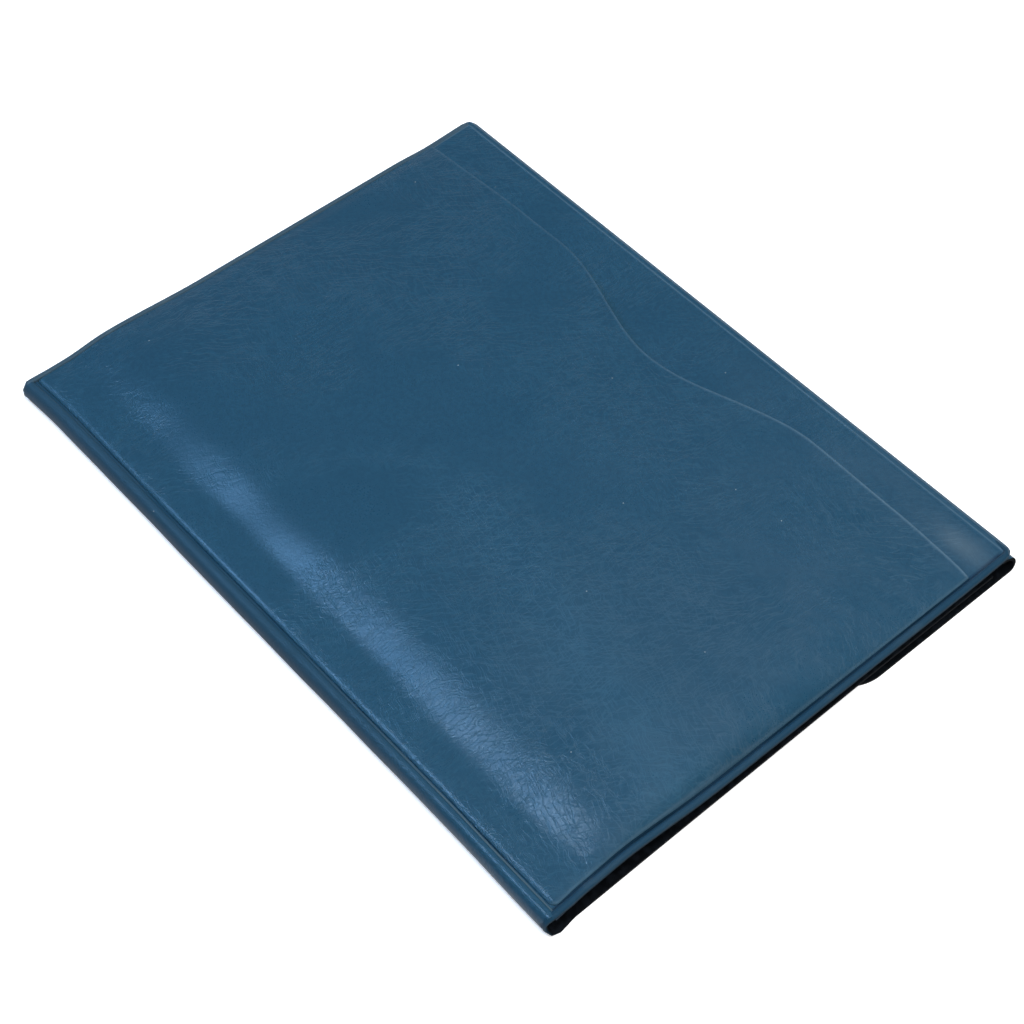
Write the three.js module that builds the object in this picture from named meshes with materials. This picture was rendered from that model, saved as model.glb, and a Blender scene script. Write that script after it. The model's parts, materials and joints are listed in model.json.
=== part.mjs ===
// Travel organizer pouch of welded vinyl sheet, lying closed with its pocket up.
// Millimetres, +Z up. X runs along the long sides, Y from the rolled bottom edge to the mouth edge,
// and the origin lies on the table under the middle of the pouch.
import * as THREE from "three";

// Overall sizes
const LENGTH = 225;
const DEPTH = 167;
const SHEET = 1;
const GAP = 0.3;

// Height of the backing's upper face along the short sides. "up" is the distance from the rolled
// bottom edge: a low shelf follows the bottom weld, then the body lifts in a shoulder and lies flat beyond it.
const BODY_SECTIONS = [
  { up: 3.5, height: 5.0 },
  { up: 14, height: 5.1 },
  { up: 29, height: 6.8 },
  { up: 62, height: 5.1 },
  { up: 146, height: 5.0 },
  { up: DEPTH, height: 5.7 },
];
const BODY_START = BODY_SECTIONS[0].up;
const BODY_CORNER_RADIUS = 3;
// Between its short sides the backing sags and the pocket swells.
const BACKING_SAG = 1.2;
const BACKING_SAG_SECTIONS = [
  { up: 6, share: 0 },
  { up: 40, share: 1 },
  { up: 136, share: 1 },
  { up: 160, share: 0 },
];
const SAG_POWER = 2.6;
const POCKET_SWELL = 3.6;
const SWELL_POWER = 3.2;
// The pocket rises from the shelf to its full swell, in a long slope at the left and a steeper one at
// the right.
const RISE_START = 12;
const RISE_END_LEFT = 46;
const RISE_END_RIGHT = 32;
// The right short side draws in a little near the bottom, where the roll lifts it.
const DRAWN_IN_SECTIONS = [
  { up: 3.5, inset: 0.7 },
  { up: 16, inset: 0.8 },
  { up: 52, inset: 0 },
];

// Welded edges: a rounded bead along each short side, a groove between it and the pocket, and a
// flattened strip along the bottom
const BEAD_WIDTH = 1.8;
const BEAD_HEIGHT = 1.0;
const BEAD_SHOULDER = 0.45;
const BEAD_END = 163;
const GROOVE_WIDTH = 1.0;
const WELD_STRIP_THICKNESS = 0.4;

// Pocket: its mouth slants a little, rising to the right, with a thumb notch as one wave of a cosine
const POCKET_SIDE_MARGIN = BEAD_WIDTH + GROOVE_WIDTH;
const POCKET_BOTTOM = 5.2;
const POCKET_MOUTH = 150.2;
const MOUTH_SLANT = 1.6;
const NOTCH_HALF_WIDTH = 52;
const NOTCH_DEPTH = 11.8;

// Back cover: rolled round the bottom edge, then rising towards the backing; it sags between its ends
const ROLL_HEIGHT = 6.6;
const ROLL_REACH = 2.6;
const ROLL_LIP = 0.6;
const COVER_RISE = 2.4;
const COVER_RISE_UP = 105;
const COVER_END = 158;
const COVER_SAG = 1.0;
const COVER_SAG_SECTIONS = [
  { up: 20, share: 0 },
  { up: 95, share: 1 },
  { up: COVER_END, share: 0.9 },
];

// Closing flap: joined under the mouth edge and folded back along the table, a little wider than the body
const FLAP_START = 162.5;
const FOLD_RADIUS = 2.2;
const FLAP_END = 100;
const FLAP_OVERHANG = 0.8;
const FLAP_CORNER_RADIUS = 14;

const VINYL_COLOUR = 0x2c546e;
const WELD_COLOUR = 0x28506a;
const VINYL_ROUGHNESS = 0.45;

// Divisions of each sheet along X and across it
const POCKET_GRID = { columns: 30, rows: 20 };
const BACKING_GRID = { columns: 14, rows: 18, cornerRows: 4 };
const BEAD_GRID = { columns: 6, rows: 20 };
const STRIP_GRID = { columns: 1, rows: 2 };
const COVER_GRID = { columns: 12, rows: 10 };
const FLAP_GRID = { columns: 10, cornerRows: 6 };
const FOLD_STEPS = 6;

// The value of one column of a table at a place between its rows, level at each row.
function between(rows, column, up) {
  if (up <= rows[0].up) return rows[0][column];
  for (let i = 1; i < rows.length; i++) {
    if (up > rows[i].up) continue;
    const share = THREE.MathUtils.smoothstep(up, rows[i - 1].up, rows[i].up);
    return THREE.MathUtils.lerp(rows[i - 1][column], rows[i][column], share);
  }
  return rows[rows.length - 1][column];
}

// 1 at the middle of the length, 0 at the given half length; a higher power is flatter in the middle.
function crown(x, halfLength, power) {
  return 1 - Math.min(1, Math.abs(x) / halfLength) ** power;
}

// How far a corner of the given radius draws an edge in, at a distance past the corner's start.
function cornerLoss(radius, past) {
  const along = THREE.MathUtils.clamp(past, 0, radius);
  return radius - Math.sqrt(radius ** 2 - along ** 2);
}

// Distances from 0 to the radius that divide a round corner into equal angles.
function cornerSteps(radius, count) {
  return Array.from({ length: count }, (_, i) => radius * Math.sin(((i + 1) / count) * (Math.PI / 2)));
}

// The body's short side: -1 is the left one, 1 the right one.
function sideAt(side, up) {
  const inset = side > 0 ? between(DRAWN_IN_SECTIONS, "inset", up) : 0;
  return side * (LENGTH / 2 - inset);
}

function bodyHeight(up) {
  return between(BODY_SECTIONS, "height", up);
}

function backingSag(x, up) {
  return BACKING_SAG * between(BACKING_SAG_SECTIONS, "share", up) * crown(x, LENGTH / 2, SAG_POWER);
}

function pocketSwell(x, up) {
  const half = LENGTH / 2 - POCKET_SIDE_MARGIN;
  const riseEnd = THREE.MathUtils.lerp(RISE_END_LEFT, RISE_END_RIGHT, x / LENGTH + 0.5);
  const rise = THREE.MathUtils.smoothstep(up, RISE_START, riseEnd);
  return POCKET_SWELL * rise * crown(x, half, SWELL_POWER);
}

function mouthAt(x) {
  const turn = Math.PI * Math.min(1, Math.abs(x) / NOTCH_HALF_WIDTH);
  const notch = NOTCH_DEPTH * (0.5 + 0.5 * Math.cos(turn));
  return POCKET_MOUTH + MOUTH_SLANT * (x / LENGTH) - notch;
}

// A closed sheet: a box with its faces divided, each point of it put in its place by
// place(across 0..1, along 0..1, layer 0 or 1).
function bentSheet(name, grid, colour, place) {
  const geometry = new THREE.BoxGeometry(1, 1, 1, grid.columns, grid.rows, 1);
  const points = geometry.attributes.position;
  for (let i = 0; i < points.count; i++) {
    const across = points.getX(i) + 0.5;
    const along = points.getY(i) + 0.5;
    const layer = points.getZ(i) + 0.5;
    const { x, up, z } = place(across, along, layer);
    points.setXYZ(i, x, up - DEPTH / 2, z);
  }
  geometry.deleteAttribute("uv");
  geometry.computeVertexNormals();
  const vinyl = new THREE.MeshStandardMaterial({ color: colour, roughness: VINYL_ROUGHNESS, metalness: 0 });
  const mesh = new THREE.Mesh(geometry, vinyl);
  mesh.name = name;
  return mesh;
}

function pocketPanel() {
  return bentSheet("pocket_panel", POCKET_GRID, VINYL_COLOUR, (across, along, layer) => {
    const mouthX = (across - 0.5) * (LENGTH - 2 * POCKET_SIDE_MARGIN);
    const up = THREE.MathUtils.lerp(POCKET_BOTTOM, mouthAt(mouthX), along);
    const left = sideAt(-1, up) + POCKET_SIDE_MARGIN;
    const right = sideAt(1, up) - POCKET_SIDE_MARGIN;
    const x = THREE.MathUtils.lerp(left, right, across);
    const underside = bodyHeight(up) + GAP + pocketSwell(x, up);
    return { x, up, z: underside + layer * SHEET };
  });
}

function backingPanel() {
  const cornerStart = DEPTH - BODY_CORNER_RADIUS;
  const { columns, rows: straightRows, cornerRows } = BACKING_GRID;
  const stations = [];
  for (let i = 0; i <= straightRows; i++) {
    stations.push(THREE.MathUtils.lerp(BODY_START, cornerStart, i / straightRows));
  }
  stations.push(...cornerSteps(BODY_CORNER_RADIUS, cornerRows).map((step) => cornerStart + step));
  const rows = straightRows + cornerRows;
  return bentSheet("backing_panel", { columns, rows }, VINYL_COLOUR, (across, along, layer) => {
    const up = stations[Math.round(along * rows)];
    const loss = cornerLoss(BODY_CORNER_RADIUS, up - cornerStart);
    const x = THREE.MathUtils.lerp(sideAt(-1, up) + loss, sideAt(1, up) - loss, across);
    const upperFace = bodyHeight(up) - backingSag(x, up);
    return { x, up, z: upperFace - (1 - layer) * SHEET };
  });
}

// A bead with a rounded top lies on the backing's margin, its outer face flush with the backing's.
function rimBead(name, side) {
  return bentSheet(name, BEAD_GRID, WELD_COLOUR, (across, along, layer) => {
    const up = THREE.MathUtils.lerp(BODY_START, BEAD_END, along);
    const x = sideAt(side, up) + (across - (side + 1) / 2) * BEAD_WIDTH;
    const round = Math.sqrt(1 - (2 * across - 1) ** 2);
    const height = THREE.MathUtils.lerp(BEAD_SHOULDER, BEAD_HEIGHT, round);
    return { x, up, z: bodyHeight(up) + GAP + layer * height };
  });
}

function bottomWeldStrip() {
  return bentSheet("bottom_weld_strip", STRIP_GRID, WELD_COLOUR, (across, along, layer) => {
    const up = THREE.MathUtils.lerp(BODY_START, POCKET_BOTTOM - GAP, along);
    const left = sideAt(-1, BODY_START) + BEAD_WIDTH + GAP;
    const right = sideAt(1, BODY_START) - BEAD_WIDTH - GAP;
    const x = THREE.MathUtils.lerp(left, right, across);
    return { x, up, z: bodyHeight(up) + GAP + layer * WELD_STRIP_THICKNESS };
  });
}

// A sheet whose middle line follows a path in the (up, z) plane. shape(share of the half length, point)
// gives the half length at a point of the path and how far the sheet hangs below the path there.
function foldedSheet(name, columns, path, shape) {
  const points = path.getPoints(FOLD_STEPS);
  const last = points.length - 1;
  const normals = points.map((_, i) => {
    const before = points[Math.max(0, i - 1)];
    const after = points[Math.min(last, i + 1)];
    const heading = after.clone().sub(before).normalize();
    return new THREE.Vector2(-heading.y, heading.x);
  });
  return bentSheet(name, { columns, rows: last }, VINYL_COLOUR, (across, along, layer) => {
    const i = Math.round(along * last);
    const share = 2 * across - 1;
    const { halfLength, hang } = shape(share, points[i]);
    const offset = (layer - 0.5) * SHEET;
    return {
      x: share * halfLength,
      up: points[i].x + offset * normals[i].x,
      z: points[i].y + offset * normals[i].y - hang,
    };
  });
}

function backCover() {
  const reach = ROLL_REACH - SHEET / 2;
  const middle = ROLL_HEIGHT / 2;
  const radius = middle - SHEET / 2;
  const path = new THREE.Path();
  path.moveTo(ROLL_REACH + ROLL_LIP, middle + radius);
  path.absellipse(ROLL_REACH, middle, reach, radius, Math.PI / 2, (3 * Math.PI) / 2, false);
  for (let i = 1; i <= COVER_GRID.rows; i++) {
    const up = THREE.MathUtils.lerp(ROLL_REACH, COVER_END, i / COVER_GRID.rows);
    const rise = COVER_RISE * Math.min(1, (up - ROLL_REACH) / (COVER_RISE_UP - ROLL_REACH));
    path.lineTo(up, SHEET / 2 + rise);
  }
  return foldedSheet("back_cover", COVER_GRID.columns, path, (share, point) => {
    const depth = COVER_SAG * between(COVER_SAG_SECTIONS, "share", point.x);
    return { halfLength: LENGTH / 2, hang: depth * crown(share, 1, SAG_POWER) };
  });
}

function closingFlap() {
  const radius = FOLD_RADIUS - SHEET / 2;
  const cornerStart = FLAP_END + FLAP_CORNER_RADIUS;
  const path = new THREE.Path();
  path.moveTo(FLAP_START, FOLD_RADIUS + radius);
  path.absarc(DEPTH - FOLD_RADIUS, FOLD_RADIUS, radius, Math.PI / 2, -Math.PI / 2, true);
  path.lineTo(cornerStart, SHEET / 2);
  for (const step of cornerSteps(FLAP_CORNER_RADIUS, FLAP_GRID.cornerRows)) {
    path.lineTo(cornerStart - step, SHEET / 2);
  }
  return foldedSheet("closing_flap", FLAP_GRID.columns, path, (_, point) => {
    const loss = cornerLoss(FLAP_CORNER_RADIUS, cornerStart - point.x);
    return { halfLength: LENGTH / 2 + FLAP_OVERHANG - loss, hang: 0 };
  });
}

const pouch = new THREE.Group();
pouch.add(
  pocketPanel(),
  backingPanel(),
  rimBead("left_rim_bead", -1),
  rimBead("right_rim_bead", 1),
  bottomWeldStrip(),
  backCover(),
  closingFlap(),
);

export default pouch;
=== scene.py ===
import json
import math

import bpy
import numpy as np
from mathutils import Matrix, Vector

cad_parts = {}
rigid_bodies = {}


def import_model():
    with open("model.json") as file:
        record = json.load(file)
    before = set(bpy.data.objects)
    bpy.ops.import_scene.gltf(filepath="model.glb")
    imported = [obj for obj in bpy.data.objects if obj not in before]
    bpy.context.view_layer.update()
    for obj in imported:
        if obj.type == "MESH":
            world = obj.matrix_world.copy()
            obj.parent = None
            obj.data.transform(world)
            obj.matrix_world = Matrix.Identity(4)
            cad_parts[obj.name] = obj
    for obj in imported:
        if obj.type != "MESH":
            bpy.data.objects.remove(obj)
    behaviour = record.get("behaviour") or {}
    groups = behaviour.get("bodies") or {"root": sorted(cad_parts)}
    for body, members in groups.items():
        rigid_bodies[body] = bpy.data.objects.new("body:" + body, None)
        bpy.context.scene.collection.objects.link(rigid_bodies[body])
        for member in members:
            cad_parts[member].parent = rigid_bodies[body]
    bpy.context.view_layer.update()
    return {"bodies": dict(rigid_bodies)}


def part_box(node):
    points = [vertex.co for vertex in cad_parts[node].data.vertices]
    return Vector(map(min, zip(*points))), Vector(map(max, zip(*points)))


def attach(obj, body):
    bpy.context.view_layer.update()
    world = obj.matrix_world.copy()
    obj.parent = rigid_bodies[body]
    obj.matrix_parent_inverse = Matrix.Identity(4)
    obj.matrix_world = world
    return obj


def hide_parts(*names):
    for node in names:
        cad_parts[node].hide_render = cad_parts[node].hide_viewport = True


# Travel organizer pouch of welded vinyl sheet, lying closed with its pocket up. Metres.
# X runs along the long sides, and "up" is the distance from the rolled bottom edge to the mouth edge.
# A value that is a pair says where a soft step starts and ends, unless its comment says otherwise.

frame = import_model()
BODY = next(iter(frame["bodies"]))
MM = 0.001
SEED = 41

# Overall sizes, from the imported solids
backing_low, backing_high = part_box("backing_panel")
flap_low, flap_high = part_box("closing_flap")
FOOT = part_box("back_cover")[0].y
LENGTH = backing_high.x - backing_low.x
DEPTH = flap_high.y - FOOT
FLAP_WIDTH = flap_high.x - flap_low.x
SHEET = 1.0 * MM

# How far the bottom edge stands out of square, by the share of the length from the middle
BOTTOM_EDGE_SECTIONS = [
    dict(along=-0.5, out=1.1 * MM),
    dict(along=-0.42, out=0.5 * MM),
    dict(along=-0.1, out=0.7 * MM),
    dict(along=0.28, out=0.65 * MM),
    dict(along=0.5, out=1.15 * MM),
]
BOTTOM_EDGE_REACH = 45 * MM

# Height of the backing's upper face along the short sides: a low shelf behind the bottom weld, a
# shoulder, and the flat part beyond it
BODY_SECTIONS = [
    dict(up=3.5 * MM, height=5.0 * MM),
    dict(up=14 * MM, height=5.1 * MM),
    dict(up=29 * MM, height=6.5 * MM),
    dict(up=62 * MM, height=5.1 * MM),
    dict(up=146 * MM, height=5.0 * MM),
    dict(up=DEPTH, height=5.7 * MM),
]
BODY_START = BODY_SECTIONS[0]["up"]
BODY_CORNER_RADIUS = 3 * MM
BACKING_HIDDEN = 0.8 * MM
BACKING_EDGE_ROUND = 0.1 * MM
BACKING_SAG = 1.2 * MM
BACKING_SAG_SECTIONS = [
    dict(up=6 * MM, share=0),
    dict(up=40 * MM, share=1),
    dict(up=136 * MM, share=1),
    dict(up=160 * MM, share=0),
]
SAG_POWER = 2.6
BACKING_SWELLS_AT = 10 * MM
RIM_CLEAR = (1.2 * MM, 3 * MM)
# The hem along the mouth edge: a crease line, a soft band and a rounded edge
HEM_WIDTH = 2.4 * MM
HEM_CROWN = 0.1 * MM
HEM_EDGE_DROP = 0.45 * MM
HEM_EDGE_ROUND = 1.3 * MM
CREASE_HEIGHT = 0.13 * MM
CREASE_HALF_WIDTH = 0.2 * MM
CREASE_GROOVE = 0.06 * MM
CREASE_GROOVE_AT = 0.65 * MM
SIDE_LINE_AT = 1.7 * MM
# A patch of painted sheen at the right end of the strip, and the painted shade in the groove beside the
# right bead
PATCH_X = 102 * MM
PATCH_LENGTH = 9 * MM
PATCH_FROM_EDGE = 9 * MM
PATCH_WIDTH = 3.5 * MM
GROOVE_SHADE_WIDTH = 2.2 * MM
GROOVE_SHADE_END = 1.3 * GROOVE_SHADE_WIDTH

# Pocket: its welded lip and its mouth with the thumb notch
POCKET_MARGIN_LEFT = 1.8 * MM
POCKET_MARGIN_RIGHT = 2.95 * MM
POCKET_BOTTOM = 4.6 * MM
POCKET_CORNER_LEFT = 0.3 * MM
POCKET_CORNER_RIGHT = 2.2 * MM
POCKET_EDGE_ROUND = 0.18 * MM
POCKET_MOUTH = 150.2 * MM
MOUTH_SLANT = 1.6 * MM
NOTCH_HALF_WIDTH = 52 * MM
NOTCH_DEPTH = 11.8 * MM
POCKET_GAP = 0.3 * MM
GAP_OPENS = 4 * MM
WELD_THINNING = 0.45
WELD_ROUND = 1.6 * MM
SIDE_ROUND = 1.1 * MM
# The mouth's curl and the paleness of its edge grow towards the right, by the share of the pocket's width
MOUTH_GROWTH = (0.3, 0.9)
MOUTH_CURL_LEFT = 0.03 * MM
MOUTH_CURL_RIGHT = 0.12 * MM
MOUTH_CURL_WIDTH = 0.4 * MM
PALE_MOUTH_LEFT = 0.3
PALE_MOUTH_WIDTH = (0.4 * MM, 0.9 * MM)
SIDE_HIGHLIGHT = 0.6
SIDE_HIGHLIGHT_WIDTH = (0.3 * MM, 0.9 * MM)
# The pocket's swell: steep behind the bottom shelf, later on the right, settling towards the mouth
POCKET_SWELL_LEFT = 3.9 * MM
POCKET_SWELL_RIGHT = 4.6 * MM
SWELL_POWER_LEFT = 3.2
SWELL_POWER_RIGHT = 32
SWELL_POWER_MOUTH = 5
SWELL_MOUTH_START = 0.3 * POCKET_MOUTH
RISE_START = 12.2 * MM
RISE_ONSET = 5.3 * MM
RISE_BLENDS = 7
RISE_LENGTH = 40 * MM
RISE_POWER = 2.2
RISE_LAG_RIGHT = 2.2 * MM
RISE_LAG_SPAN = (0.36 * LENGTH, 0.47 * LENGTH)
SETTLE_START = 55 * MM
SETTLE_SHARE = 0.18
POCKET_SWELLS_AT = (3 * MM, 14 * MM)
# A low slanted fold, the painted highlight streak below it, and the painted sheen towards the right
FOLD_HEIGHT = 0.7 * MM
FOLD_HALF_WIDTH = 8 * MM
FOLD_UP = 73 * MM
FOLD_SLANT = 0.2
FOLD_LOW = -20 * MM
FOLD_HIGH = 100 * MM
FOLD_FADE = 35 * MM
STREAK_UP = 67 * MM
STREAK_HALF_WIDTH = 11 * MM
STREAK_SHARE = 0.17
STREAK_SHARE_RIGHT = 0.34
SHEEN_RIGHT = 0.26
SHEEN_SHELF = 0.25
# The right short side draws in a little near the bottom, where the roll lifts it.
DRAWN_IN_SECTIONS = [
    dict(up=2 * MM, inset=0),
    dict(up=15 * MM, inset=0.8 * MM),
    dict(up=52 * MM, inset=0),
]

# Back cover: rolled round the bottom edge, then rising under the body. ROLL_EDGE is its hidden start,
# as places up and heights. Angles are in degrees, with 90 at the crest of the roll and 270 underneath.
ROLL_HEIGHT = 6.6 * MM
ROLL_REACH = 2.6 * MM
ROLL_CORNERS = {-1: 2.0 * MM, 1: 2.8 * MM}
ROLL_DROOP = {-1: 0.45 * MM, 1: 0}
DROOP_WIDTH = 10 * MM
ROLL_HIDDEN = {-1: 0.8 * MM, 1: 1.3 * MM}
ROLL_EDGE = [(3.3 * MM, 5.3 * MM), (3.25 * MM, 5.75 * MM)]
ROLL_START = 80
ROLL_END = 270
ROLL_POINTS = 120
ROLL_LEFT_AT = (6.5 * MM, 9.5 * MM)
COVER_FLARE = 0.1 * MM
COVER_FLARE_SPAN = (8 * MM, 40 * MM)
COVER_RISE = 2.4 * MM
COVER_RISE_UP = 105 * MM
COVER_END = 158 * MM
COVER_POINTS = 200
COVER_EDGE_ROUND = 0.05 * MM
COVER_SAG = 1.0 * MM
COVER_SAG_SECTIONS = [
    dict(up=20 * MM, share=0),
    dict(up=95 * MM, share=1),
    dict(up=COVER_END, share=0.9),
]
COVER_UNDER_AT = (12 * MM, 30 * MM)
COVER_SWELL_SHARE = 0.4
COVER_SWELL_POWER = 8
# Where the painted shade and extra roughness of the back cover fade out towards the right
ROLL_SHADE_SPAN = (0.1 * LENGTH, 0.45 * LENGTH)
PATH_SPACING = 0.1 * MM
COVER_SOFTENING = 4
BEAD_SOFTENING = 12

# Closing flap: folded from under the hem back along the table
FLAP_START = 162.5 * MM
FOLD_RADIUS = 2.33 * MM
FOLD_POINTS = 60
FLAP_END = 100 * MM
FLAP_CORNER_RADIUS = 14 * MM
FLAP_EDGE_ROUND = 0.3 * MM
FLAP_TUCK = 1.5 * MM
FLAP_TUCK_LENGTH = 8 * MM

# Rim beads along the short sides. outside is how far one stands past its side, and under how far its
# end swings out below the roll. rolled and hem are its height there, as shares. The last two set its
# painted highlight and the painted shade on its lower side.
BEAD_SIZES = {
    -1: dict(
        width=1.7 * MM, height=2.2 * MM, round=0.75 * MM, outside=0.12 * MM, under=0,
        rolled=0.7, hem=0.12, painted_highlight=1.1, shaded=0,
    ),
    1: dict(
        width=2.1 * MM, height=2.2 * MM, round=0.95 * MM, outside=-0.35 * MM, under=1.3 * MM,
        rolled=0.68, hem=1, painted_highlight=0, shaded=1,
    ),
}
# A bead's height and width as shares: where it starts on the hem, at the plan corner and on the rim
BEAD_GROWTH = [
    dict(tall=0.1, wide=0.4),
    dict(tall=0.65, wide=0.8),
    dict(tall=1, wide=1),
]
BEAD_HEM_RUN = 12 * MM
BEAD_LOW_START = 136 * MM
BEAD_ROLL_JOIN = 9 * MM
BEAD_ROLL_START = 105
BEAD_SWING_ANGLES = (120, 265)
BEAD_FLAT_ANGLES = (170, 250)
BEAD_UNDER_TALL = 0.4
BEAD_UNDER_END = 16 * MM
BEAD_SWING_LOSS = 0.6
BEAD_SWING_END = 10 * MM
BEAD_CORNER_POINTS = 40
BEAD_RIM_POINTS = 300
BEAD_CUTS = 620
# The painted shade on the lower side of a bead: by the share of its height, and by how far its top has
# turned over
BEAD_SHADE = (-0.1, 0.35)
BEAD_DARK_BELOW = -0.12
BEAD_DARK_TURN = -0.97
# Which way a bead's top faces: its part up the pouch and its part along Z
UPWARDS = (0.0, 1.0)
DOWNWARDS = (0.0, -1.0)

# The flattened weld strip along the bottom
STRIP_LOW = 3.5 * MM
STRIP_GAP_LEFT = 0.03 * MM
STRIP_GAP_RIGHT = 0.35 * MM
STRIP_HEIGHT = 0.62 * MM
STRIP_ROUND = 0.22 * MM
STRIP_CUTS = 160
STRIP_SWELL_SHARE = 0.5
# A painted highlight towards the strip's right end, and where it grows
STRIP_HIGHLIGHT = 1.5
STRIP_HIGHLIGHT_SPAN = (0, 0.4 * LENGTH)

# Rounded edges
SHARP_ANGLE = math.radians(50)
SHEET_EDGE_SEGMENTS = 3
BAR_EDGE_SEGMENTS = 5


def smooth(value, start, end):
    """0 before start, 1 past end, with a soft step between."""
    share = np.clip((value - start) / (end - start), 0, 1)
    return share * share * (3 - 2 * share)


def mixed(first, second, share):
    return first + (second - first) * share


def between(rows, column, place, key="up"):
    """The value of one column of a table at places between its rows, level at each row."""
    value = np.full(np.shape(place), float(rows[0][column]))
    for lower, upper in zip(rows, rows[1:]):
        value = value + (upper[column] - lower[column]) * smooth(place, lower[key], upper[key])
    return value


def crown(x, half, power):
    return 1 - np.minimum(1, np.abs(x) / half) ** power


def hump(distance, half_width):
    return np.exp(-((distance / half_width) ** 2))


def rounding(distance, width):
    """0 at an edge and 1 from a width inside it, steepest at the edge."""
    return 1 - (1 - np.clip(distance / width, 0, 1)) ** 2


def corner_loss(radius, distance):
    """How far a rounded corner pulls in a side, at a distance from the edge that the corner ends on."""
    left = np.clip(radius - distance, 0, radius)
    return radius - np.sqrt(radius * radius - left * left)


def side_at(side, up):
    inset = between(DRAWN_IN_SECTIONS, "inset", up) if side > 0 else 0
    return side * (LENGTH / 2 - inset)


def body_height(up):
    return between(BODY_SECTIONS, "height", up)


def backing_sag(x, up):
    share = between(BACKING_SAG_SECTIONS, "share", up)
    return BACKING_SAG * share * crown(x, LENGTH / 2, SAG_POWER)


def pocket_rise(up):
    """How far the pocket has swollen: steep just behind the shelf, then ever flatter."""
    starts = RISE_START + RISE_ONSET * np.linspace(0, 1, RISE_BLENDS)
    shares = [1 - (1 - np.clip((up - start) / RISE_LENGTH, 0, 1)) ** RISE_POWER for start in starts]
    return np.mean(shares, axis=0) * (1 - SETTLE_SHARE * smooth(up, SETTLE_START, POCKET_MOUTH))


def pocket_swell(x, up):
    left = crown(x, LENGTH / 2 - POCKET_MARGIN_LEFT, SWELL_POWER_LEFT)
    power = mixed(SWELL_POWER_RIGHT, SWELL_POWER_MOUTH, smooth(up, SWELL_MOUTH_START, POCKET_MOUTH))
    right = crown(x, LENGTH / 2 - POCKET_MARGIN_RIGHT, power)
    height = mixed(POCKET_SWELL_LEFT, POCKET_SWELL_RIGHT, x / LENGTH + 0.5)
    lag = RISE_LAG_RIGHT * smooth(x, *RISE_LAG_SPAN)
    return height * pocket_rise(up - lag) * np.where(x < 0, left, right)


def pocket_fold(x, up):
    """A low fold that runs slantwise across the pocket, fading at both ends."""
    starts = smooth(x, FOLD_LOW, FOLD_LOW + FOLD_FADE)
    ends = smooth(x, FOLD_HIGH - FOLD_FADE, FOLD_HIGH)
    return FOLD_HEIGHT * (starts * (1 - ends)) * hump(up - FOLD_UP + FOLD_SLANT * x, FOLD_HALF_WIDTH)


def pocket_streak_highlight(x, up):
    """How strong the painted highlight streak is along the low side of the fold."""
    share = STREAK_SHARE + STREAK_SHARE_RIGHT * np.clip(x / (LENGTH / 2), 0, 1) ** 2
    return share * smooth(x, FOLD_LOW, 0) * hump(up - STREAK_UP + FOLD_SLANT * x, STREAK_HALF_WIDTH)


def pocket_painted_sheen(x, up):
    """How strong the painted sheen is towards the pocket's right side."""
    spread = mixed(SHEEN_SHELF, 1, smooth(up, RISE_START, RISE_LENGTH))
    return SHEEN_RIGHT * spread * smooth(x, 0, LENGTH / 2)


def mouth_at(x):
    wave = 0.5 + 0.5 * np.cos(np.pi * np.minimum(1, np.abs(x) / NOTCH_HALF_WIDTH))
    return POCKET_MOUTH + MOUTH_SLANT * (x / LENGTH) - NOTCH_DEPTH * wave


def waves(random, count, shortest, longest, height):
    """Faint swells of the sheet: each a direction and wavelength, a phase and a height."""
    lengths = random.uniform(shortest, longest, count)
    turns = random.uniform(0, np.pi, count)
    rates = 2 * np.pi / lengths
    return np.column_stack((
        rates * np.cos(turns),
        rates * np.sin(turns),
        random.uniform(0, 2 * np.pi, count),
        height * lengths / longest,
    ))


def swells(table, x, up):
    return sum(
        height * np.sin(along_x * x + along_up * up + phase)
        for along_x, along_up, phase, height in table
    )


random = np.random.default_rng(SEED)
POCKET_WAVES = waves(random, count=14, shortest=14 * MM, longest=55 * MM, height=0.075 * MM)
BACKING_WAVES = waves(random, count=10, shortest=12 * MM, longest=40 * MM, height=0.07 * MM)
COVER_WAVES = waves(random, count=8, shortest=20 * MM, longest=60 * MM, height=0.08 * MM)


def stations(length, near, far, largest, growth):
    """Distances along a side of a sheet: steps of near and far at its ends, growing to largest between."""
    ramps = []
    for first in (near, far):
        ramp = [first]
        while ramp[-1] * growth < largest:
            ramp.append(ramp[-1] * growth)
        ramps.append(ramp)
    middle = length - sum(ramps[0]) - sum(ramps[1])
    count = math.ceil(middle / largest)
    steps = np.array([*ramps[0], *[middle / count] * count, *reversed(ramps[1])])
    return np.concatenate(([0], np.cumsum(steps)))


def read_points(piece):
    flat = np.empty(len(piece.data.vertices) * 3, np.float32)
    piece.data.vertices.foreach_get("co", flat)
    return flat.reshape(-1, 3).astype(float)


def write_points(piece, points):
    piece.data.vertices.foreach_set("co", points.astype(np.float32).ravel())
    piece.data.update()


def place_points(piece, x, up, z):
    """Moves a piece's points to their places, with the bottom edge out of square."""
    skew = between(BOTTOM_EDGE_SECTIONS, "out", x / LENGTH, "along")
    skew = skew * (1 - smooth(up, POCKET_BOTTOM, BOTTOM_EDGE_REACH))
    write_points(piece, np.column_stack((x, FOOT + up - skew, z)))


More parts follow.
